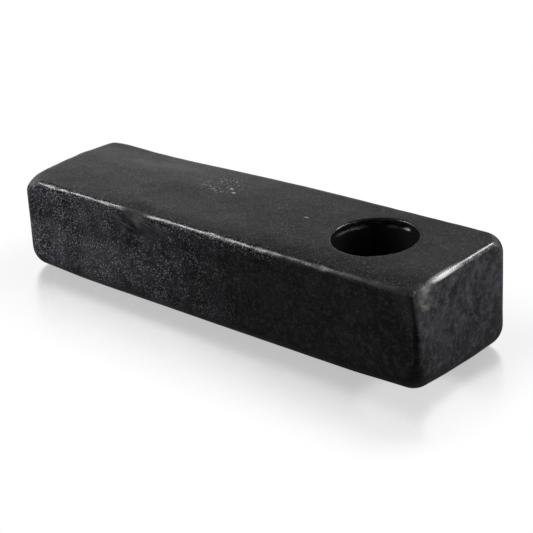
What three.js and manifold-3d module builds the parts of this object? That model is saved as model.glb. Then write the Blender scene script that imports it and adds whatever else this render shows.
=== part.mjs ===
// A hand pipe cut from one bar of black stone. The bowl is drilled down from the top near one end, a draw
// channel runs to it from the other end, and a dished metal screen lies loose on the bowl's floor.
// Millimetres, +Z up, +X from the mouth end to the bowl end. The origin is the centre of the resting face.
import * as THREE from "three";
import { mergeVertices } from "three/addons/utils/BufferGeometryUtils.js";
import Module from "manifold-3d";

// The bar. Its top was ground by hand: it falls towards the mouth end and twists from side to side on the way.
const LENGTH = 79;
const WIDTH = 22.3;
const MOUTH_HEIGHT = 15.9;
const BOWL_END_HEIGHT = 17;
const MOUTH_LEAN = -0.4; // how far the back edge (+Y) stands above the middle
const BOWL_END_LEAN = 0.35;
const FULL_HEIGHT = BOWL_END_HEIGHT + BOWL_END_LEAN;
const TOP_EDGE_RADIUS = 1.4;
const FOOT_EDGE_RADIUS = 2.9;
const MOUTH_CORNER_RADIUS = 3.0;
const BOWL_CORNER_RADIUS = 3.3;

// The bowl: a half-inch drilling that ends in the drill's 120 degree point.
const BOWL_RADIUS = 12.7 / 2;
const BOWL_X = LENGTH / 2 - 15.5;
const BOWL_SHOULDER_Z = 8.0;
const DRILL_POINT_SLOPE = Math.tan(THREE.MathUtils.degToRad(30));
const BOWL_APEX_Z = BOWL_SHOULDER_Z - BOWL_RADIUS * DRILL_POINT_SLOPE;

// The draw channel falls gently from the middle of the mouth end to the bowl's point, under the screen.
const CHANNEL_RADIUS = 2.0;
const CHANNEL_MOUTH_Z = MOUTH_HEIGHT / 2;
const CHANNEL_BOWL_Z = 5.0;
const MOUTH_COUNTERSINK = 0.7;

// The screen: a shallow dish with its rim turned up beside the bowl's wall, and square openings through it.
const SCREEN_THICKNESS = 0.3;
const SCREEN_RADIUS = BOWL_RADIUS - 0.35;
const SCREEN_RIM_HEIGHT = 1.0;
const DISH_RADIUS = SCREEN_RADIUS - 0.5;
const DISH_DEPTH = 0.9;
const SEAT_GAP = 0.15;
const MESH_PITCH = 1.0;
const MESH_OPENING = 0.6;

const CUT_OVERRUN = 2; // how far a cutter runs on into the open, so that it leaves no skin

const BLACK_STONE = new THREE.MeshStandardMaterial({ color: 0x1d1d1f, roughness: 0.5, metalness: 0 });
const STEEL_MESH = new THREE.MeshStandardMaterial({ color: 0x8b8b8c, roughness: 0.4, metalness: 1 });

const wasm = await Module();
wasm.setup();

// A closed three.js geometry as a solid that can be joined and cut.
function toSolid(geometry) {
  const bare = geometry.clone();
  bare.deleteAttribute("normal");
  bare.deleteAttribute("uv");
  const merged = mergeVertices(bare, 1e-4);
  return new wasm.Manifold(
    new wasm.Mesh({
      numProp: 3,
      vertProperties: merged.attributes.position.array,
      triVerts: new Uint32Array(merged.index.array),
    }),
  );
}

function toGeometry(solid) {
  const { vertProperties, triVerts } = solid.getMesh();
  const geometry = new THREE.BufferGeometry();
  geometry.setAttribute("position", new THREE.BufferAttribute(vertProperties, 3));
  geometry.setIndex(new THREE.BufferAttribute(triVerts, 1));
  geometry.computeVertexNormals();
  return geometry;
}

// The bar's outline from above, with slightly wider corners at the bowl end.
function planOutline() {
  const x = LENGTH / 2;
  const y = WIDTH / 2;
  const corners = [
    [x - BOWL_CORNER_RADIUS, y - BOWL_CORNER_RADIUS, BOWL_CORNER_RADIUS],
    [-x + MOUTH_CORNER_RADIUS, y - MOUTH_CORNER_RADIUS, MOUTH_CORNER_RADIUS],
    [-x + MOUTH_CORNER_RADIUS, -y + MOUTH_CORNER_RADIUS, MOUTH_CORNER_RADIUS],
    [x - BOWL_CORNER_RADIUS, -y + BOWL_CORNER_RADIUS, BOWL_CORNER_RADIUS],
  ];
  const outline = new THREE.Shape();
  corners.forEach(([cx, cy, radius], quarter) => {
    const start = (quarter * Math.PI) / 2;
    outline.absarc(cx, cy, radius, start, start + Math.PI / 2, false);
  });
  outline.closePath();
  return outline;
}

// The outline raised from one height to another, with both rims rounded.
function roundedBar(bottom, top, edgeRadius) {
  const geometry = new THREE.ExtrudeGeometry(planOutline(), {
    depth: top - bottom - 2 * edgeRadius,
    curveSegments: 8,
    bevelEnabled: true,
    bevelThickness: edgeRadius,
    bevelSize: edgeRadius,
    bevelOffset: -edgeRadius,
    bevelSegments: 5,
  });
  return geometry.translate(0, 0, bottom + edgeRadius);
}

// A solid of revolution about +Z. The profile is [radius, height] pairs going up the outside.
function turned(profile, segments) {
  const points = profile.map(([radius, height]) => new THREE.Vector2(radius, height));
  return new THREE.LatheGeometry(points, segments).rotateX(Math.PI / 2);
}

// The height of the top face, before its edges are rounded.
function topHeight(x, y) {
  const along = x / LENGTH + 0.5;
  const middle = THREE.MathUtils.lerp(MOUTH_HEIGHT, BOWL_END_HEIGHT, along);
  const lean = THREE.MathUtils.lerp(MOUTH_LEAN, BOWL_END_LEAN, along);
  return middle + (lean * y) / (WIDTH / 2);
}

// The bar before drilling: crisp rims above and worn ones below, with its top brought to its true slope.
function groundBar() {
  const top = toSolid(roundedBar(-LENGTH, FULL_HEIGHT, TOP_EDGE_RADIUS));
  const foot = toSolid(roundedBar(0, LENGTH, FOOT_EDGE_RADIUS));
  const geometry = toGeometry(top.intersect(foot));
  const position = geometry.attributes.position;
  for (let i = 0; i < position.count; i++) {
    const share = topHeight(position.getX(i), position.getY(i)) / FULL_HEIGHT;
    position.setZ(i, position.getZ(i) * share);
  }
  return toSolid(geometry);
}

function bowlCutter() {
  const profile = [
    [0, BOWL_APEX_Z],
    [BOWL_RADIUS, BOWL_SHOULDER_Z],
    [BOWL_RADIUS, FULL_HEIGHT + CUT_OVERRUN],
    [0, FULL_HEIGHT + CUT_OVERRUN],
  ];
  return toSolid(turned(profile, 64).translate(BOWL_X, 0, 0));
}

// The channel's straight drilling and the small countersink where it meets the mouth end.
function channelCutter() {
  const run = BOWL_X + LENGTH / 2;
  const drop = CHANNEL_MOUTH_Z - CHANNEL_BOWL_Z;
  const length = Math.hypot(run, drop) + CUT_OVERRUN;
  const drilling = new THREE.CylinderGeometry(CHANNEL_RADIUS, CHANNEL_RADIUS, length, 24);
  drilling.rotateZ(Math.PI / 2);
  drilling.translate(-length / 2, 0, 0);
  drilling.rotateY(Math.atan2(drop, run));
  drilling.translate(BOWL_X, 0, CHANNEL_BOWL_Z);
  const wide = CHANNEL_RADIUS + MOUTH_COUNTERSINK;
  const countersink = turned(
    [
      [0, -CUT_OVERRUN],
      [wide + CUT_OVERRUN, -CUT_OVERRUN],
      [CHANNEL_RADIUS, MOUTH_COUNTERSINK],
      [0, MOUTH_COUNTERSINK],
    ],
    24,
  );
  countersink.rotateY(Math.PI / 2);
  countersink.translate(-LENGTH / 2, 0, CHANNEL_MOUTH_Z);
  return toSolid(drilling).add(toSolid(countersink));
}

function stoneBody() {
  const drilled = groundBar().subtract(bowlCutter()).subtract(channelCutter());
  const mesh = new THREE.Mesh(toGeometry(drilled), BLACK_STONE);
  mesh.name = "stone_body";
  return mesh;
}

// The dish's profile, out along its underside, up the rim and back in along its upper side.
function dishProfile() {
  const sag = (radius) => DISH_DEPTH * ((radius / DISH_RADIUS) ** 2 - 1);
  const radii = [0, 0.35, 0.7, 1].map((share) => share * DISH_RADIUS);
  const underside = radii.map((radius) => [radius, sag(radius)]);
  const upperSide = radii.map((radius) => [radius, sag(radius) + SCREEN_THICKNESS]).reverse();
  const rim = [
    [SCREEN_RADIUS, SCREEN_THICKNESS],
    [SCREEN_RADIUS, SCREEN_RIM_HEIGHT],
    [SCREEN_RADIUS - SCREEN_THICKNESS, SCREEN_RIM_HEIGHT],
  ];
  return [...underside, ...rim, ...upperSide];
}

// The mesh's openings: square posts on a grid, as far out as the dish reaches.
function meshOpenings() {
  const reach = DISH_RADIUS - MESH_OPENING;
  const steps = Math.floor(reach / MESH_PITCH);
  const posts = [];
  for (let i = -steps; i <= steps; i++) {
    for (let j = -steps; j <= steps; j++) {
      const x = i * MESH_PITCH;
      const y = j * MESH_PITCH;
      if (Math.hypot(x, y) < reach) {
        const post = new THREE.BoxGeometry(MESH_OPENING, MESH_OPENING, 4 * DISH_DEPTH);
        posts.push(toSolid(post.translate(x, y, 0)));
      }
    }
  }
  return posts.reduce((all, post) => all.add(post));
}

function bowlScreen() {
  const dish = toSolid(turned(dishProfile(), 48));
  const mesh = new THREE.Mesh(toGeometry(dish.subtract(meshOpenings())), STEEL_MESH);
  mesh.name = "bowl_screen";
  const seat = BOWL_APEX_Z + DISH_RADIUS * DRILL_POINT_SLOPE;
  mesh.position.set(BOWL_X, 0, seat + SEAT_GAP);
  return mesh;
}

const pipe = new THREE.Group();
pipe.add(stoneBody(), bowlScreen());

export default pipe;
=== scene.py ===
"""The looks of a hand pipe cut from one bar of black stone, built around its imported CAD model.

The stone is one closed mesh, taken from a formula for the hand-ground bar: crisp and worn edges, gentle
waves, a worn scoop, the drilled bowl and the draw channel. The screen in the bowl is woven from wires.
Everything is in metres, in the CAD model's frame: +X towards the bowl end, +Z up, resting on z = 0. The
front is the long face towards -Y, and the near corner is where it meets the bowl end.
"""

import math

import bpy
import numpy as np
from mathutils import Matrix, Vector


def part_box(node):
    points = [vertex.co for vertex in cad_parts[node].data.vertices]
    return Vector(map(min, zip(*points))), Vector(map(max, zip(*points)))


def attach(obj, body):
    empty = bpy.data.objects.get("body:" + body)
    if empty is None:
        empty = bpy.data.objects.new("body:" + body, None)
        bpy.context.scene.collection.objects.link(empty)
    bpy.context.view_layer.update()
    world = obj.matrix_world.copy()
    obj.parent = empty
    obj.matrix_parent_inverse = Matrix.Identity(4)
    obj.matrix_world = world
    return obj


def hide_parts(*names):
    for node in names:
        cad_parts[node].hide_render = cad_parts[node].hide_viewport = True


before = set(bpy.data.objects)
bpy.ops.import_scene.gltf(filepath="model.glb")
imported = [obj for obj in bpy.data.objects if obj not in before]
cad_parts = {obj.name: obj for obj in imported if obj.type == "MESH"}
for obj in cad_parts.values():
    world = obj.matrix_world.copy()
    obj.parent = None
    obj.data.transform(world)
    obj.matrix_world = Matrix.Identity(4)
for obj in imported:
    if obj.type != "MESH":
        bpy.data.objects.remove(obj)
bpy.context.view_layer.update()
MM = 0.001

# ---------------------------------------------------------------- driving dimensions

STONE_LOW, STONE_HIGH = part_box("stone_body")
SCREEN_LOW, SCREEN_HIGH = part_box("bowl_screen")
LENGTH, WIDTH, HEIGHT = STONE_HIGH - STONE_LOW
HALF_LENGTH = LENGTH / 2
HALF_WIDTH = WIDTH / 2

# The top face. The heights are of its middle, and it leans up from there towards the back.
MOUTH_HEIGHT = 15.98 * MM
BOWL_END_HEIGHT = 17.16 * MM
MOUTH_LEAN = 0.31 * MM
BOWL_END_LEAN = 0.34 * MM

# It rolls off along its front edge, dips along its back edge and droops at the mouth end's front corner.
MOUTH_ROLL = 0.08 * MM
BOWL_END_ROLL = 0.72 * MM
MOUTH_ROLL_REACH = 3 * MM
BOWL_END_ROLL_REACH = 9 * MM
DIP_DEPTH = 1.03 * MM
DIP_X = -25.3 * MM
DIP_REACH = 20.3 * MM
MOUTH_DROOP = 0.45 * MM

# The outline from above: its skewed ends, its swelling front, its slightly hollow bowl end and its corners.
# The near corner is as round as the bowl end's other one at its low height, and crisp from its high one up.
MOUTH_SKEW = -0.26 * MM
BOWL_END_SKEW = 0.16 * MM
FRONT_SWELL = 0.25 * MM
END_HOLLOW = 0.13 * MM
MOUTH_CORNER = 3.0 * MM
BOWL_CORNER = 3.3 * MM
NEAR_CORNER = 1.0 * MM
NEAR_CORNER_LOW = 1 * MM
NEAR_CORNER_HIGH = 6 * MM

# The edges: crisp along the front and the bowl end, worn along the back, at the mouth and at the foot.
CRISP_RADIUS = 0.7 * MM
END_NEAR_RADIUS = 0.8 * MM
END_FAR_RADIUS = 0.9 * MM
WORN_RADIUS = 2.8 * MM
MOUTH_RADIUS = 4.0 * MM
FOOT_RADIUS = 2.9 * MM
FOOT_CORNER_RADIUS = 3.5 * MM
EDGE_RIPPLE = 0.18
EDGE_RIPPLE_LENGTH = 3 * MM
EDGE_RIPPLE_RANGE = (0.6, 1.5)

# How far inside the outline each change of the edges or the top starts, and how far inside it ends.
END_BLEND = (3 * MM, 1 * MM)
BACK_BLEND = (4.5 * MM, 1 * MM)
MOUTH_BLEND = (6 * MM, 0)
MOUTH_FRONT_BLEND = (3 * MM, -2 * MM)
FOOT_LENGTH_BLEND = (14 * MM, 2 * MM)
FOOT_WIDTH_BLEND = (9 * MM, 2 * MM)
DROOP_LENGTH_BLEND = (6 * MM, 0)
DROOP_WIDTH_BLEND = (5 * MM, 0)

# Along y, where the bowl end's edge changes from its near radius to its far one.
END_RADIUS_CHANGE = (-8 * MM, 6 * MM)

# Grinding leaves long waves and short ones.
LONG_WAVE_HEIGHT = 0.03 * MM
LONG_WAVE_LENGTH = 22 * MM
SHORT_WAVE_HEIGHT = 0.005 * MM
SHORT_WAVE_LENGTH = 4 * MM

# The bowl and the draw channel, with chatter marks a little way down the bowl.
BOWL_X = (SCREEN_LOW.x + SCREEN_HIGH.x) / 2
BOWL_RADIUS = 6.35 * MM
BOWL_SHOULDER = 8.0 * MM
POINT_ANGLE = math.radians(30)
BOWL_APEX = BOWL_SHOULDER - BOWL_RADIUS * math.tan(POINT_ANGLE)
BOWL_FLOOR_EASE = 0.3 * MM
BOWL_WAVE_HEIGHT = 0.03 * MM
BOWL_WAVE_LENGTH = 4 * MM
CHATTER_DEPTH = 1.0 * MM
CHATTER_BAND = 0.3 * MM
CHATTER_HEIGHT = 0.13 * MM
CHATTER_LENGTH = 3 * MM
CHANNEL_RADIUS = 2.0 * MM
CHANNEL_BOWL_Z = 5.0 * MM
CHANNEL_MOUTH_Z = MOUTH_HEIGHT / 2
RIM_EASE = 0.12 * MM

# A shallow scoop worn into the front edge, and a rubbed flat at the near corner.
SCOOP_RADIUS = 5.5 * MM
SCOOP_CENTRE = Vector((-13.4, -16.2, 16.4)) * MM
SCOOP_EASE = 0.12 * MM
FLAT_NORMAL = Vector((0.94, -0.267, 0.2125)).normalized()
FLAT_PLACE = Vector((39.2, -9.4, 14.2)) * MM
FLAT_EASE = 0.5 * MM

# The woven screen: a disc of wires pressed into a dish, with its rim bent up.
WIRE_RADIUS = 0.1 * MM
WIRE_PITCH = 0.55 * MM
STEPS_PER_PITCH = 4
FEWEST_STEPS = 8
DISH_RADIUS = 5.2 * MM
DISH_DEPTH = 0.8 * MM
RIM_BEND = 0.6 * MM
RIM_RISE = 0.3 * MM
DISC_RADIUS = DISH_RADIUS + RIM_BEND * math.pi / 2 + RIM_RISE
RIM_TOP = RIM_BEND + RIM_RISE + WIRE_RADIUS

# The grid that the stone's mesh is taken from: fine near its edges and coarser away from them.
GRID_MARGIN = 1.0 * MM
FINE_STEP = 0.2 * MM
FINE_REACH = 1.5 * MM
STEP_GROWTH = 0.15
COARSE_STEP = 0.5 * MM


# ---------------------------------------------------------------- distance formulas

def between(start, end, share):
    """The value a share of the way from start to end."""
    return start + (end - start) * share


def smooth_step(value, start, end):
    """0 before start and 1 after end, with a soft rise between. The start may be the higher one."""
    share = np.clip((value - start) / (end - start), 0, 1)
    return share * share * (3 - 2 * share)


def inside_edge(position, edge, blend):
    """0 as far inside an edge as a blend's first distance, and 1 from its second distance outward."""
    start, end = blend
    return smooth_step(position, edge - start, edge - end)


def round_max(a, b, radius):
    """The intersection of two solids, with the edge where they meet rounded to a radius."""
    over = np.hypot(np.maximum(a + radius, 0), np.maximum(b + radius, 0))
    return np.minimum(np.maximum(a, b), -radius) + over


def waves(x, y, z, wavelength, seed, count=8):
    """A smooth random field with an rms value of 1: plane waves in seeded directions."""
    random = np.random.default_rng(seed)
    total = 0
    for _ in range(count):
        direction = random.normal(size=3)
        direction *= 2 * math.pi / (wavelength * random.uniform(0.7, 1.4) * np.linalg.norm(direction))
        phase = random.uniform(0, 2 * math.pi)
        total = total + np.sin(direction[0] * x + direction[1] * y + direction[2] * z + phase)
    return total / math.sqrt(count / 2)


def along_bar(x):
    """0 at the mouth end and 1 at the bowl end."""
    return np.clip(x / LENGTH + 0.5, 0, 1)


def top_height(x, y):
    """The top face, before its edges are rounded."""
    along = along_bar(x)
    middle = between(MOUTH_HEIGHT, BOWL_END_HEIGHT, along)
    lean = between(MOUTH_LEAN, BOWL_END_LEAN, along)
    roll_reach = between(MOUTH_ROLL_REACH, BOWL_END_ROLL_REACH, along)
    roll = between(MOUTH_ROLL, BOWL_END_ROLL, along)
    roll = roll * np.clip((roll_reach - HALF_WIDTH - y) / roll_reach, 0, 1) ** 3
    dip = DIP_DEPTH * np.exp(-((x - DIP_X) / DIP_REACH) ** 2) * smooth_step(y, 0, HALF_WIDTH)
    droop = MOUTH_DROOP * inside_edge(-x, HALF_LENGTH, DROOP_LENGTH_BLEND)
    droop = droop * inside_edge(-y, HALF_WIDTH, DROOP_WIDTH_BLEND)
    return middle + lean * y / HALF_WIDTH - roll - dip - droop


def plan_distance(x, y, z):
    """How far outside the outline a point is, seen from above. The near corner is crisper higher up."""
    skew = between(MOUTH_SKEW, BOWL_END_SKEW, along_bar(x))
    x = x - skew * y / HALF_WIDTH
    y = np.where(y < 0, y - FRONT_SWELL * (x / HALF_LENGTH) ** 2, y)
    x = np.where(x > 0, x - END_HOLLOW * (y / HALF_WIDTH) ** 2, x)
    near = between(NEAR_CORNER, BOWL_CORNER, smooth_step(z, NEAR_CORNER_HIGH, NEAR_CORNER_LOW))
    corner = np.where(x < 0, MOUTH_CORNER, np.where(y < 0, near, BOWL_CORNER))
    over_x = np.abs(x) - (HALF_LENGTH - corner)
    over_y = np.abs(y) - (HALF_WIDTH - corner)
    outside = np.hypot(np.maximum(over_x, 0), np.maximum(over_y, 0))
    return outside + np.minimum(np.maximum(over_x, over_y), 0) - corner


def top_edge_radius(x, y, z):
    """Crisp and rippled along the front, even along the bowl end, worn along the back and at the mouth."""
    end = inside_edge(x, HALF_LENGTH, END_BLEND)
    back = inside_edge(y, HALF_WIDTH, BACK_BLEND)
    off_front = 1 - inside_edge(-y, HALF_WIDTH, MOUTH_FRONT_BLEND)
    mouth = inside_edge(-x, HALF_LENGTH, MOUTH_BLEND) * off_front
    end_radius = between(END_NEAR_RADIUS, END_FAR_RADIUS, smooth_step(y, *END_RADIUS_CHANGE))
    ripple = 1 + EDGE_RIPPLE * (1 - end) * waves(x, y, z, EDGE_RIPPLE_LENGTH, seed=5)
    radius = between(CRISP_RADIUS, end_radius, end) * np.clip(ripple, *EDGE_RIPPLE_RANGE)
    radius = between(radius, WORN_RADIUS, back)
    return between(radius, MOUTH_RADIUS, mouth)


def foot_edge_radius(x, y):
    """A little wider at the four corners."""
    corner_x = inside_edge(np.abs(x), HALF_LENGTH, FOOT_LENGTH_BLEND)
    corner_y = inside_edge(np.abs(y), HALF_WIDTH, FOOT_WIDTH_BLEND)
    return between(FOOT_RADIUS, FOOT_CORNER_RADIUS, corner_x * corner_y)


def bar_distance(x, y, z):
    """The ground bar before drilling."""
    uneven = LONG_WAVE_HEIGHT * waves(x, y, z, LONG_WAVE_LENGTH, seed=3)
    uneven = uneven + SHORT_WAVE_HEIGHT * waves(x, y, z, SHORT_WAVE_LENGTH, seed=4)
    side = plan_distance(x, y, z) + uneven
    top = z - top_height(x, y) + uneven
    rimmed = round_max(side, top, top_edge_radius(x, y, z))
    return round_max(rimmed, -z, foot_edge_radius(x, y))


def hollow_distance(x, y, z):
    """The bowl and the draw channel, as one hollow."""
    radius = np.hypot(x - BOWL_X, y)
    from_band = (top_height(x, y) - z - CHATTER_DEPTH) / CHATTER_BAND
    chatter = CHATTER_HEIGHT * np.exp(-from_band * from_band)
    chatter = chatter * (1 + waves(x, y, z, CHATTER_LENGTH, seed=7))
    wall = radius - BOWL_RADIUS + BOWL_WAVE_HEIGHT * waves(x, y, z, BOWL_WAVE_LENGTH, seed=6) - chatter
    point = (BOWL_APEX + radius * math.tan(POINT_ANGLE) - z) * math.cos(POINT_ANGLE)
    bowl = round_max(wall, point, BOWL_FLOOR_EASE)
    toward_mouth = (BOWL_X - x) / (BOWL_X + HALF_LENGTH)
    centre_z = between(CHANNEL_BOWL_Z, CHANNEL_MOUTH_Z, toward_mouth)
    channel = np.maximum(np.hypot(y, z - centre_z) - CHANNEL_RADIUS, x - BOWL_X)
    return np.minimum(bowl, channel)


def stone_distance(x, y, z):
    """The whole stone: the bar less its scoop, the rub at its near corner and its hollow."""
    beside_scoop = np.hypot(x - SCOOP_CENTRE.x, y - SCOOP_CENTRE.y)
    from_scoop = np.hypot(beside_scoop, z - SCOOP_CENTRE.z)
    over_flat = FLAT_NORMAL.x * x + FLAT_NORMAL.y * y + FLAT_NORMAL.z * z - FLAT_NORMAL.dot(FLAT_PLACE)
    stone = round_max(bar_distance(x, y, z), SCOOP_RADIUS - from_scoop, SCOOP_EASE)
    stone = round_max(stone, over_flat, FLAT_EASE)
    return round_max(stone, -hollow_distance(x, y, z), RIM_EASE)


# ---------------------------------------------------------------- from a formula to a mesh

def graded(low, high, spots):
    """Grid planes from low to high: fine steps near the spots and coarse ones away from them."""
    planes = [low]
    while planes[-1] < high:
        away = min(abs(planes[-1] - spot) for spot in spots)
        planes.append(planes[-1] + min(FINE_STEP + STEP_GROWTH * max(away - FINE_REACH, 0), COARSE_STEP))
    return np.array(planes)


def crossings(value, planes, axis):
    """The grid edges along one axis that cross the surface: their lower nodes, points and senses."""
    before = np.delete(value, -1, axis)
    after = np.delete(value, 0, axis)
    node = np.argwhere((before < 0) != (after < 0))
    start = before[tuple(node.T)]
    end = after[tuple(node.T)]
    point = np.stack([planes[i][node[:, i]] for i in range(3)], axis=1)
    step = np.diff(planes[axis])[node[:, axis]]
    point[:, axis] += step * start / (start - end)
    return node, point, start < 0


def surface_net(distance, planes):
    """A closed mesh of quads on the distance's zero surface, with a vertex in each cell that it crosses."""
    value = distance(*np.meshgrid(*planes, indexing="ij"))
    cells_shape = np.array(value.shape) - 1
    faces = []
    points = []
    for axis in range(3):
        node, point, leaving = crossings(value, planes, axis)
        second = np.eye(3, dtype=int)[(axis + 1) % 3]
        third = np.eye(3, dtype=int)[(axis + 2) % 3]
        ring = np.stack([node - second - third, node - third, node, node - second], axis=1)
        ring[~leaving] = ring[~leaving][:, ::-1]
        faces.append(np.ravel_multi_index(np.moveaxis(ring, 2, 0), cells_shape))
        points.append(np.repeat(point, 4, axis=0))
    _, corner = np.unique(np.concatenate(faces), return_inverse=True)
    corner = corner.ravel()
    points = np.concatenate(points)
    total = np.stack([np.bincount(corner, points[:, i]) for i in range(3)], axis=1)
    vertices = total / np.bincount(corner)[:, None]
    return vertices, corner.reshape(-1, 4)


def gradient(distance, vertices, step=0.02 * MM):
    """The direction in which the distance grows at each vertex."""
    slope = np.zeros_like(vertices)
    for i in range(3):
        shift = np.zeros(3)
        shift[i] = step
        slope[:, i] = distance(*(vertices + shift).T) - distance(*(vertices - shift).T)
    return slope / (2 * step)


def onto_surface(distance, vertices, rounds=3, least_slope=0.25):
    """Moves the vertices along the distance's slope until they lie on its zero surface."""
    for _ in range(rounds):
        slope = gradient(distance, vertices)
        squared = np.maximum((slope * slope).sum(1), least_slope)
        vertices = vertices - slope * (distance(*vertices.T) / squared)[:, None]
    return vertices


def evened(vertices, faces, rounds=2):
    """Moves each vertex halfway to the middle of its neighbours, to even the mesh out."""
    pairs = np.concatenate([faces[:, [i, (i + 1) % 4]] for i in range(4)])
    ends = np.concatenate([pairs, pairs[:, ::-1]])
    count = np.bincount(ends[:, 0])[:, None]
    for _ in range(rounds):
        near = np.stack([np.bincount(ends[:, 0], vertices[ends[:, 1], i]) for i in range(3)], axis=1)
        vertices = (vertices + near / count) / 2
    return vertices


def convexity(distance, vertices, reach=0.5 * MM):
    """How sharply the surface turns outward at each vertex, as 1 over its radius, in 1/m."""
    total = -6 * distance(*vertices.T)
    for i in range(3):
        shift = np.zeros(3)
        shift[i] = reach
        total = total + distance(*(vertices + shift).T) + distance(*(vertices - shift).T)
    return total / reach**2


def new_object(name, data):
    """An object with this data, in the scene."""
    added = bpy.data.objects.new(name, data)
    bpy.context.scene.collection.objects.link(added)
    return added


def stone_planes():
    """The grid's planes along each axis. They are close together where the stone has an edge."""
    ends = (-HALF_LENGTH, HALF_LENGTH, BOWL_X - BOWL_RADIUS, BOWL_X + BOWL_RADIUS)
    sides = (-HALF_WIDTH, HALF_WIDTH, -BOWL_RADIUS, BOWL_RADIUS)
    levels = (0, MOUTH_HEIGHT, HEIGHT)
    return (
        graded(-HALF_LENGTH - GRID_MARGIN, HALF_LENGTH + GRID_MARGIN, ends),
        graded(-HALF_WIDTH - GRID_MARGIN, HALF_WIDTH + GRID_MARGIN, sides),
        graded(-GRID_MARGIN, HEIGHT + 2 * GRID_MARGIN, levels),
    )


def make_stone():
    """The stone's mesh. Its wear attribute is 1 along the crisp edges and 0 on the faces."""
    vertices, faces = surface_net(stone_distance, stone_planes())
    vertices = onto_surface(stone_distance, evened(vertices, faces))
    mesh = bpy.data.meshes.new("stone")
    mesh.from_pydata(vertices.tolist(), [], faces.tolist())
    mesh.shade_smooth()
    wear = mesh.attributes.new("wear", "FLOAT", "POINT")
    bend = np.clip(convexity(stone_distance, vertices) * CRISP_RADIUS, 0, 1)
    wear.data.foreach_set("value", bend.astype(np.float32))
    return new_object("stone", mesh)


# ---------------------------------------------------------------- the woven screen

def dish_point(reach):
    """The radius and height that a point at a reach from the flat disc's middle has in the pressed dish."""
    if reach < DISH_RADIUS:
        return reach, DISH_DEPTH * ((reach / DISH_RADIUS) ** 2 - 1)
    turn = min((reach - DISH_RADIUS) / RIM_BEND, math.pi / 2)
    rise = max(reach - DISH_RADIUS - RIM_BEND * math.pi / 2, 0)
    return DISH_RADIUS + RIM_BEND * math.sin(turn), RIM_BEND * (1 - math.cos(turn)) + rise


def wire_points(offset, along_x, over):
    """The path of one wire of the weave, passing over and under the wires that cross it."""
    half = math.sqrt(DISC_RADIUS**2 - offset**2)
    steps = max(round(2 * half / WIRE_PITCH * STEPS_PER_PITCH), FEWEST_STEPS)
    points = []
    for i in range(steps + 1):
        run = -half + 2 * half * i / steps
        x, y = (run, offset) if along_x else (offset, run)
        reach = math.hypot(x, y)
        radius, height = dish_point(reach)
        inward = radius / reach if reach else 1
        weave = over * WIRE_RADIUS * math.cos(math.pi * run / WIRE_PITCH)
        points.append((x * inward, y * inward, height + weave))
    return points


def add_wire(curve, points):
    """One wire as a spline of the curve."""
    spline = curve.splines.new("POLY")
    spline.points.add(len(points) - 1)
    for slot, point in zip(spline.points, points):
        slot.co = (*point, 1)
    spline.use_smooth = True


def make_screen():
    """Wires in two directions, as one curve with a round section."""
    curve = bpy.data.curves.new("screen", "CURVE")
    curve.dimensions = "3D"
    curve.bevel_depth = WIRE_RADIUS
    curve.bevel_resolution = 2
    curve.use_fill_caps = True
    outermost = math.floor(DISC_RADIUS / WIRE_PITCH - 0.5)
    for along_x in (True, False):
        for i in range(-outermost, outermost + 1):
            over = (1 if i % 2 else -1) * (1 if along_x else -1)
            add_wire(curve, wire_points(i * WIRE_PITCH, along_x, over))
    screen = new_object("screen", curve)
    screen.location = (BOWL_X, 0, SCREEN_HIGH.z - RIM_TOP)
    return screen


# ---------------------------------------------------------------- shader nodes

SPOT_CORE = 0.4  # the share of a spot's reach over which it is 1


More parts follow.
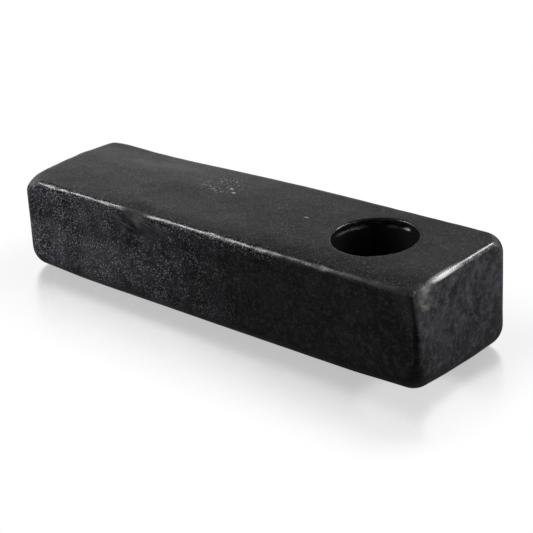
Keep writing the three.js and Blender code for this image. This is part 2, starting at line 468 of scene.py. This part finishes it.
class Nodes:
    """Short ways to add shader nodes to one tree. Each returns its output socket."""

    def __init__(self, tree):
        self.tree = tree

    def add(self, kind, output, inputs, **settings):
        """Adds a node of a kind, and returns the output with this name."""
        node = self.tree.nodes.new(kind)
        for name, value in settings.items():
            setattr(node, name, value)
        for name, value in inputs.items():
            self.feed(node.inputs[name], value)
        return node.outputs[output]

    def feed(self, socket, value):
        """Links an output to an input, or sets the input to a plain value."""
        if isinstance(value, bpy.types.NodeSocket):
            self.tree.links.new(value, socket)
        else:
            socket.default_value = value

    def object_place(self):
        """The place in the object's own axes, in metres."""
        return self.add("ShaderNodeTexCoord", "Object", {})

    def noise(self, place, size, detail=2.0, roughness=0.5):
        """Noise whose features are about one size across, in metres."""
        inputs = {"Vector": place, "Scale": 1 / size, "Detail": detail, "Roughness": roughness}
        return self.add("ShaderNodeTexNoise", "Fac", inputs)

    def measured_from(self, point, place):
        inputs = {0: place, 1: point}
        return self.add("ShaderNodeVectorMath", "Vector", inputs, operation="SUBTRACT")

    def scaled(self, place, factors):
        inputs = {0: place, 1: factors}
        return self.add("ShaderNodeVectorMath", "Vector", inputs, operation="MULTIPLY")

    def turned(self, place, angle, axis="Z"):
        """The place in axes turned about one of them."""
        inputs = {"Vector": place, "Angle": angle}
        return self.add("ShaderNodeVectorRotate", "Vector", inputs, rotation_type=axis + "_AXIS")

    def axis(self, vector, name):
        return self.add("ShaderNodeSeparateXYZ", name, {"Vector": vector})

    def length(self, vector):
        return self.add("ShaderNodeVectorMath", "Value", {0: vector}, operation="LENGTH")

    def spot(self, place, centre, reach):
        """1 in its core, falling softly to 0 at a reach along each axis."""
        offset = self.measured_from(centre, place)
        away = self.length(self.scaled(offset, tuple(1 / r for r in reach)))
        return self.ramp(away, 1, SPOT_CORE)

    def ramp(self, value, start, end, low=0.0, high=1.0):
        """low before start and high after end, changing softly between. The start may be the higher one."""
        inputs = {"Value": value, "From Min": start, "From Max": end, "To Min": low, "To Max": high}
        return self.add("ShaderNodeMapRange", "Result", inputs, interpolation_type="SMOOTHSTEP")

    def calculate(self, operation, a, b):
        return self.add("ShaderNodeMath", "Value", {0: a, 1: b}, operation=operation)

    def times(self, first, *others):
        product = first
        for other in others:
            product = self.calculate("MULTIPLY", product, other)
        return product

    def plus(self, first, *others):
        total = first
        for other in others:
            total = self.calculate("ADD", total, other)
        return total

    def larger(self, a, b):
        return self.calculate("MAXIMUM", a, b)

    def rest_of(self, share):
        """What is left of 1."""
        return self.calculate("SUBTRACT", 1.0, share)

    def mix(self, share, a, b):
        """A colour between a and b. The node's colour sockets are taken by number, as its names repeat."""
        node = self.tree.nodes.new("ShaderNodeMix")
        node.data_type = "RGBA"
        self.feed(node.inputs["Factor"], share)
        self.feed(node.inputs[6], a)
        self.feed(node.inputs[7], b)
        return node.outputs[2]

    def beyond(self, position, edge, slant):
        """How far a position lies beyond an edge on either side of zero, divided by a slant."""
        past = self.calculate("SUBTRACT", self.calculate("ABSOLUTE", position, 0.0), edge)
        return self.calculate("DIVIDE", self.larger(past, 0.0), slant)

    def bump(self, height, depth, normal=None):
        """A shading normal over bumps of a depth, and over another normal if there is one."""
        inputs = {"Height": height, "Distance": depth}
        if normal is not None:
            inputs["Normal"] = normal
        return self.add("ShaderNodeBump", "Normal", inputs)


def grey(level, blue=1.0):
    """A grey with its blue a little stronger or weaker."""
    return (level, level, level * blue, 1)


def new_material(name, nodes_class=Nodes):
    """A material, its shader, and the short ways to add nodes to its tree."""
    material = bpy.data.materials.new(name)
    material.use_nodes = True
    shader = material.node_tree.nodes["Principled BSDF"]
    return material, shader, nodes_class(material.node_tree)


# ---------------------------------------------------------------- the stone's material

STONE_BLACK = grey(0.003)
CLOUD_GREY = grey(0.009, 1.15)
MOTTLE_GREY = grey(0.022, 1.15)
# Pale dust, and also the painted light of the haze high on the bowl end.
DUST_AND_PAINTED_LIGHT_GREY = grey(0.045, 1.18)
SMEAR_GREY = grey(0.07, 0.95)
GRAIN_GREY = grey(0.27, 1.1)
SCUFF_GREY = (0.15, 0.142, 0.13, 1)
# The pale grey of the painted highlight along the bowl end's top edge.
PAINTED_HIGHLIGHT_GREY = grey(0.4)
BOWL_BLACK = grey(0.008)
# How many times lighter the bowl end's colour is than the sides': painted light standing in for light from
# the right, not a paler stone.
END_PAINTED_LIGHT_GAIN = 2.7

# How big the features of each texture are.
CLOUD_SIZE = 4 * MM
MOTTLE_SIZE = 0.8 * MM
DRIFT_SIZE = 4 * MM
HAZE_SIZE = 1.8 * MM
STREAK_SIZE = 0.5 * MM
PATCH_SIZE = 3 * MM
GRAIN_SIZE = 0.24 * MM
FLECK_SIZE = 0.25 * MM
SCUFF_SIZE = 0.5 * MM
SMUDGE_SIZE = 3 * MM
STROKE_SIZE = 0.3 * MM
GRIT_SIZE = 0.3 * MM

# Stretches along the bar and up its sides, from where a mask is 0 to where it is 1.
TOWARD_MOUTH = (12 * MM, -24 * MM)
BEFORE_BOWL = (20 * MM, 8 * MM)
PAST_BOWL = (22 * MM, 34 * MM)
TOWARD_BOWL_END = (-10 * MM, 25 * MM)
# Up the bowl end, where its haze grows from faint to full: painted light, paler higher up the face.
PAINTED_LIGHT_UP_BOWL_END = (3 * MM, 13 * MM)
UNDER_FRONT_EDGE = (13.5 * MM, 16 * MM)

# Marks on the stone: the centre of each, and how far it reaches along each axis.
SCOOP_MARK = ((-13.4 * MM, -HALF_WIDTH, 15.5 * MM), (4 * MM, 4 * MM, 2 * MM))
SMEAR_MARK = ((-13 * MM, -HALF_WIDTH, 13.6 * MM), (7.5 * MM, 3 * MM, 2.4 * MM))
FLAT_MARK = ((HALF_LENGTH, -8.5 * MM, 15.1 * MM), (2 * MM, 1.9 * MM, 2.6 * MM))
CORNER_MARK = ((HALF_LENGTH, -HALF_WIDTH, 14.5 * MM), (4.5 * MM, 4.5 * MM, 5 * MM))
# Where the painted highlight lies along the bowl end's top edge.
PAINTED_HIGHLIGHT_MARK = ((HALF_LENGTH, -5 * MM, 17 * MM), (1.2 * MM, 6 * MM, 0.8 * MM))
FLECK_GROUP_MARK = ((-8 * MM, 3.2 * MM, MOUTH_HEIGHT), (6 * MM, 3.8 * MM, 3 * MM))
LONE_FLECKS = ((-5.7 * MM, 2.6 * MM), (-4.4 * MM, 1.6 * MM), (11.2 * MM, 0.1 * MM))
LONE_FLECK_REACH = (0.6 * MM, 0.3 * MM, 1.5 * MM)

SMEAR_ANGLE = math.radians(-12)
STROKE_ANGLE = math.radians(-25)
STROKE_DEPTH = 0.014 * MM
GRIT_DEPTH = 0.05 * MM


class StoneNodes(Nodes):
    """The stone's shader nodes. Each mask is 1 on one part of the stone and 0 away from it."""

    def __init__(self, tree):
        super().__init__(tree)
        self.place = self.object_place()
        self.along = self.axis(self.place, "X")
        self.height = self.axis(self.place, "Z")
        self.toward_mouth = self.ramp(self.along, *TOWARD_MOUTH)
        self.before_bowl = self.ramp(self.along, *BEFORE_BOWL)
        from_axis = self.length(self.scaled(self.measured_from((BOWL_X, 0, 0), self.place), (1, 1, 0)))
        self.in_bowl = self.ramp(from_axis, BOWL_RADIUS + 0.35 * MM, BOWL_RADIUS)
        self.scoop = self.spot(self.place, *SCOOP_MARK)
        self.smear = self.spot(self.place, *SMEAR_MARK)
        self.add_facing_masks()
        self.worn = self.add("ShaderNodeAttribute", "Fac", {}, attribute_name="wear")
        rubbed = self.larger(self.end_side, self.before_bowl)
        self.polished = self.times(self.worn, rubbed, self.rest_of(self.scoop))
        self.drift = self.ramp(self.noise(self.place, DRIFT_SIZE, detail=6, roughness=0.7), 0.35, 0.68)

    def add_facing_masks(self):
        """The masks that follow which way the surface faces."""
        normal = self.add("ShaderNodeNewGeometry", "Normal", {})
        upward = self.axis(normal, "Z")
        endward = self.axis(normal, "X")
        self.on_top = self.ramp(upward, 0.6, 0.95)
        self.on_side = self.rest_of(self.on_top)
        self.top_side = self.ramp(upward, 0.15, 0.45)
        self.on_end = self.ramp(endward, 0.6, 0.95)
        self.end_side = self.ramp(endward, 0.1, 0.4)

    def clouds(self):
        """The bare stone's colour: cloudy black with a fine mottle, fainter on the top."""
        cloud = self.noise(self.place, CLOUD_SIZE, detail=5, roughness=0.6)
        colour = self.mix(self.ramp(cloud, 0.35, 0.7), STONE_BLACK, CLOUD_GREY)
        mottle = self.ramp(self.noise(self.place, MOTTLE_SIZE, detail=3), 0.45, 0.72, 0, 0.8)
        return self.mix(self.times(mottle, self.ramp(self.on_side, 0, 1, 0.6, 1)), colour, MOTTLE_GREY)

    def dust_and_painted_light(self):
        """Drifts on the sides towards the mouth end, and a fine cloudy haze on the bowl end that grows
        paler towards its top as painted light.
        """
        drifts = self.times(self.toward_mouth, self.on_side, self.drift, 0.8)
        # Painted light: the haze grows towards the top of the bowl end.
        high = self.ramp(self.height, *PAINTED_LIGHT_UP_BOWL_END, 0.1, 1)
        haze = self.noise(self.scaled(self.place, (1, 1, 0.8)), HAZE_SIZE, detail=6, roughness=0.75)
        return self.larger(drifts, self.times(self.on_end, high, self.ramp(haze, 0.4, 0.66, 0, 0.5)))

    def smear_streaks(self):
        """Slanting streaks in the rubbed smear under the scoop."""
        swept = self.scaled(self.turned(self.place, SMEAR_ANGLE, axis="Y"), (0.12, 0.5, 1))
        streaks = self.ramp(self.noise(swept, STREAK_SIZE, detail=3), 0.5, 0.66)
        return self.times(streaks, self.smear, self.on_side)

    def grain_cover(self):
        """How much the grains cover: a lot at the mouth end and under the front edge, none where rubbed."""
        thick = self.times(self.toward_mouth, self.ramp(self.on_side, 0, 1, 0.25, 1.2))
        thin = self.plus(self.times(self.on_side, 0.08), self.times(self.on_end, -0.03))
        patches = self.ramp(self.noise(self.place, PATCH_SIZE, detail=4), 0.38, 0.62, 0.4, 1)
        high = self.ramp(self.height, *UNDER_FRONT_EDGE)
        under_edge = self.times(high, self.on_side, self.before_bowl)
        cover = self.larger(self.times(self.plus(thick, thin), patches), under_edge)
        return self.times(cover, self.rest_of(self.larger(self.scoop, self.smear)))

    def flecks(self):
        """Pale flecks on the top: a few all over it, a group of them, and three lone ones."""
        group = self.spot(self.place, *FLECK_GROUP_MARK)
        specks = self.ramp(self.noise(self.place, FLECK_SIZE, detail=1), 0.61, 0.7)
        flecks = self.times(specks, self.on_top, self.ramp(group, 0, 1, 0.2, 1))
        for x, y in LONE_FLECKS:
            flecks = self.larger(flecks, self.spot(self.place, (x, y, MOUTH_HEIGHT), LONE_FLECK_REACH))
        return flecks

    def grains(self):
        """Pale grains on the sides and flecks on the top."""
        fine = self.noise(self.place, GRAIN_SIZE, detail=2, roughness=0.6)
        return self.larger(self.times(self.ramp(fine, 0.53, 0.68), self.grain_cover()), self.flecks())

    def scuffs(self):
        """Pale scuffs along the polished upper edges, and on the rubbed flat."""
        broken = self.ramp(self.noise(self.place, SCUFF_SIZE, detail=4), 0.42, 0.6)
        along_edges = self.times(self.polished, self.top_side, broken, 0.4)
        return self.larger(along_edges, self.times(self.spot(self.place, *FLAT_MARK), self.drift))

    def colour(self):
        """The bare stone under its marks. The bowl end's colour is lightened as painted light, it has a
        painted highlight along its top edge, and the bowl is plain.
        """
        colour = self.mix(self.dust_and_painted_light(), self.clouds(), DUST_AND_PAINTED_LIGHT_GREY)
        colour = self.mix(self.smear_streaks(), colour, SMEAR_GREY)
        colour = self.mix(self.grains(), colour, GRAIN_GREY)
        colour = self.mix(self.scuffs(), colour, SCUFF_GREY)
        # A painted highlight on the worn near half of the bowl end's top edge, thickening the lamp's
        # highlight there.
        painted_highlight = self.spot(self.place, *PAINTED_HIGHLIGHT_MARK)
        colour = self.mix(self.times(painted_highlight, self.worn, 0.9), colour, PAINTED_HIGHLIGHT_GREY)
        # Painted light: the bowl end's colour is lightened, standing in for light falling on it from the
        # right.
        painted_light_gain = self.ramp(self.on_end, 0, 1, 1, END_PAINTED_LIGHT_GAIN)
        colour = self.add("ShaderNodeVectorMath", "Vector", {0: colour, "Scale": painted_light_gain}, operation="SCALE")
        return self.mix(self.in_bowl, colour, BOWL_BLACK)

    def roughness(self):
        """Smudged satin: glossier along the polished edges and in the bowl, and duller where it is worn."""
        smudge = self.noise(self.scaled(self.place, (0.4, 1, 1)), SMUDGE_SIZE, detail=4)
        past_bowl = self.ramp(self.along, *PAST_BOWL)
        return self.plus(
            self.ramp(smudge, 0.3, 0.7, 0.3, 0.4),
            self.times(self.on_side, 0.02),
            self.ramp(self.along, *TOWARD_BOWL_END, 0, 0.06),
            self.times(self.polished, -0.2),
            self.times(self.worn, past_bowl, self.rest_of(self.end_side), 0.25),
            self.times(self.scoop, 0.3),
            self.times(self.spot(self.place, *CORNER_MARK), 0.3),
            self.times(self.in_bowl, -0.25),
        )

    def relief(self):
        """Fine sanding strokes, and grit that is stronger on the sides."""
        slanted = self.turned(self.place, STROKE_ANGLE)
        strokes = self.noise(self.scaled(slanted, (0.05, 1, 1)), STROKE_SIZE, detail=4, roughness=0.6)
        grit = self.noise(self.place, GRIT_SIZE, detail=3)
        grit = self.times(grit, self.ramp(self.on_side, 0, 1, 0.25, 1))
        return self.bump(grit, GRIT_DEPTH, normal=self.bump(strokes, STROKE_DEPTH))


def stone_material():
    """Black stone: cloudy and mottled, dusted with pale grains, and polished along its edges."""
    material, shader, nodes = new_material("black_stone", StoneNodes)
    nodes.feed(shader.inputs["Base Color"], nodes.colour())
    nodes.feed(shader.inputs["Roughness"], nodes.roughness())
    nodes.feed(shader.inputs["Normal"], nodes.relief())
    shader.inputs["Specular IOR Level"].default_value = 0.32
    return material


# ---------------------------------------------------------------- the wires' material

BRIGHT_STEEL = (0.5, 0.49, 0.47, 1)
DULL_STEEL = (0.27, 0.25, 0.22, 1)
TARNISH_SIZE = 2 * MM
DRAWN_SIZE = 0.05 * MM
DRAWN_DEPTH = 0.004 * MM


def wire_material():
    """Drawn steel wire, tarnished in places."""
    material, shader, nodes = new_material("steel_wire")
    place = nodes.object_place()
    tarnish = nodes.ramp(nodes.noise(place, TARNISH_SIZE, detail=4), 0.35, 0.7)
    nodes.feed(shader.inputs["Base Color"], nodes.mix(tarnish, BRIGHT_STEEL, DULL_STEEL))
    nodes.feed(shader.inputs["Roughness"], nodes.ramp(tarnish, 0, 1, 0.28, 0.5))
    shader.inputs["Metallic"].default_value = 1
    drawn = nodes.noise(place, DRAWN_SIZE, detail=2)
    nodes.feed(shader.inputs["Normal"], nodes.bump(drawn, DRAWN_DEPTH))
    return material


# ---------------------------------------------------------------- the pieces

stone = make_stone()
stone.data.materials.append(stone_material())
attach(stone, "pipe")
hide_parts("stone_body")

screen = make_screen()
screen.data.materials.append(wire_material())
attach(screen, "screen")
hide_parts("bowl_screen")


# ---------------------------------------------------------------- floor, backdrop and lights

FLOOR_RADIUS = 3.0
FLOOR_SIDES = 96

# The table mirrors the stone up to its reach in height. The slants are how far out from the pipe the mirror
# image of one unit of height shows.
MIRROR_REACH = 11 * MM
MIRROR_STRENGTH = 0.5
MIRROR_AT_CORNER = 0.34
CORNER_REACH = (12 * MM, 12 * MM, 12 * MM)
END_SLANT = 1.2
SIDE_SLANT = 1.7
MIRROR_ROUGHNESS = 0.26

# How strongly each part of the room glows. The front and the ground have shares of the wall's glow.
WALL_GLOW = 0.56
CEILING_GLOW = 0.03
FRONT_SHARE = 0.6
GROUND_SHARE = 0.18

# Where the room changes, on the unit sphere around it.
CEILING_TO_WALL = (0.6, 0.46)
FRONT_TO_BACK = (-0.5, 0.1)
GROUND_TO_WALL = (-0.1, 0.05)


def mirror_strength(nodes):
    """How strongly the table mirrors. It fades away from the pipe, and is weaker at the near corner."""
    place = nodes.object_place()
    beyond_end = nodes.beyond(nodes.axis(place, "X"), HALF_LENGTH, END_SLANT)
    beyond_side = nodes.beyond(nodes.axis(place, "Y"), HALF_WIDTH, SIDE_SLANT)
    beyond = nodes.add("ShaderNodeCombineXYZ", "Vector", {"X": beyond_end, "Y": beyond_side})
    near_corner = nodes.spot(place, (HALF_LENGTH, -HALF_WIDTH, 0), CORNER_REACH)
    at_pipe = nodes.ramp(near_corner, 0, 1, MIRROR_STRENGTH, MIRROR_AT_CORNER)
    return nodes.times(nodes.ramp(nodes.length(beyond), MIRROR_REACH, 0), at_pipe)


def table_material():
    """A white table that mirrors the stone. Its own glow and the mirrored wall add up to white."""
    material = bpy.data.materials.new("white_table")
    material.use_nodes = True
    tree = material.node_tree
    tree.nodes.clear()
    nodes = Nodes(tree)
    mirror = mirror_strength(nodes)
    glow = nodes.add("ShaderNodeEmission", "Emission", {"Strength": nodes.rest_of(mirror)})
    shine = nodes.mix(nodes.times(mirror, 1 / WALL_GLOW), grey(0), grey(1))
    gloss = nodes.add("ShaderNodeBsdfGlossy", "BSDF", {"Color": shine, "Roughness": MIRROR_ROUGHNESS})
    both = nodes.add("ShaderNodeAddShader", "Shader", {0: glow, 1: gloss})
    output = tree.nodes.new("ShaderNodeOutputMaterial")
    tree.links.new(both, output.inputs["Surface"])
    return material


def make_floor():
    """A round table. It is hidden from diffuse and glossy rays, so it casts no light up at the pipe."""
    centre = (0, 0, STONE_LOW.z)
    bpy.ops.mesh.primitive_circle_add(
        vertices=FLOOR_SIDES, radius=FLOOR_RADIUS, fill_type="NGON", location=centre
    )
    floor = bpy.context.object
    floor.name = "floor"
    floor.data.materials.append(table_material())
    floor.visible_diffuse = False
    floor.visible_glossy = False


def make_world():
    """A pale wall all round, dimmer in front of the pipe, with a dark ceiling and a dim ground."""
    world = bpy.data.worlds.new("studio")
    world.use_nodes = True
    bpy.context.scene.world = world
    nodes = Nodes(world.node_tree)
    direction = nodes.add("ShaderNodeTexCoord", "Generated", {})
    up = nodes.axis(direction, "Z")
    wall = nodes.ramp(up, *CEILING_TO_WALL, CEILING_GLOW, WALL_GLOW)
    behind = nodes.ramp(nodes.axis(direction, "Y"), *FRONT_TO_BACK, FRONT_SHARE, 1)
    above_ground = nodes.ramp(up, *GROUND_TO_WALL, GROUND_SHARE, 1)
    background = world.node_tree.nodes["Background"]
    nodes.feed(background.inputs["Color"], grey(1))
    nodes.feed(background.inputs["Strength"], nodes.times(wall, behind, above_ground))


def add_softbox(name, direction, distance, size, power):
    """A square area light in a direction from the pipe's middle, facing it. Its power is in watts."""
    light = new_object(name, bpy.data.lights.new(name, "AREA"))
    light.data.size = size
    light.data.energy = power
    toward = Vector(direction).normalized()
    light.location = Vector((0, 0, HEIGHT / 2)) + distance * toward
    light.rotation_mode = "QUATERNION"
    light.rotation_quaternion = (-toward).to_track_quat("-Z", "Y")


make_floor()
make_world()
add_softbox("back_light", (0.391, 0.676, 0.625), distance=0.45, size=0.15, power=1.6)
add_softbox("front_light", (-0.158, -0.115, 0.148), distance=0.25, size=0.115, power=0.64)
add_softbox("right_light", (0.96, 0.24, 0.16), distance=0.5, size=0.4, power=0.7)


# ---------------------------------------------------------------- camera

# The camera aims at a height above the resting face's centre, and then to the right and up as it sees it.
AZIMUTH = math.radians(42.02)
ELEVATION = math.radians(24.55)
ROLL = math.radians(-3.05)
DISTANCE = 13.0 * WIDTH
LENS = 129.2
AIM_HEIGHT = 0.37 * WIDTH
AIM_RIGHT = 0.103 * WIDTH
AIM_UP = -0.094 * WIDTH


def make_camera():
    """The camera looks along -back, with its own right and up rolled a little about it."""
    back = Vector((math.sin(AZIMUTH), -math.cos(AZIMUTH), math.tan(ELEVATION))).normalized()
    level = Vector((0, 0, 1)).cross(back).normalized()
    right = Matrix.Rotation(ROLL, 3, back) @ level
    up = back.cross(right)
    aim = Vector((0, 0, AIM_HEIGHT)) + AIM_RIGHT * right + AIM_UP * up
    facing = Matrix((right, up, back)).transposed().to_4x4()
    camera = new_object("camera", bpy.data.cameras.new("camera"))
    camera.data.lens = LENS
    camera.matrix_world = Matrix.Translation(aim + DISTANCE * back) @ facing
    bpy.context.scene.camera = camera


make_camera()

bpy.context.scene.view_settings.view_transform = "Standard"
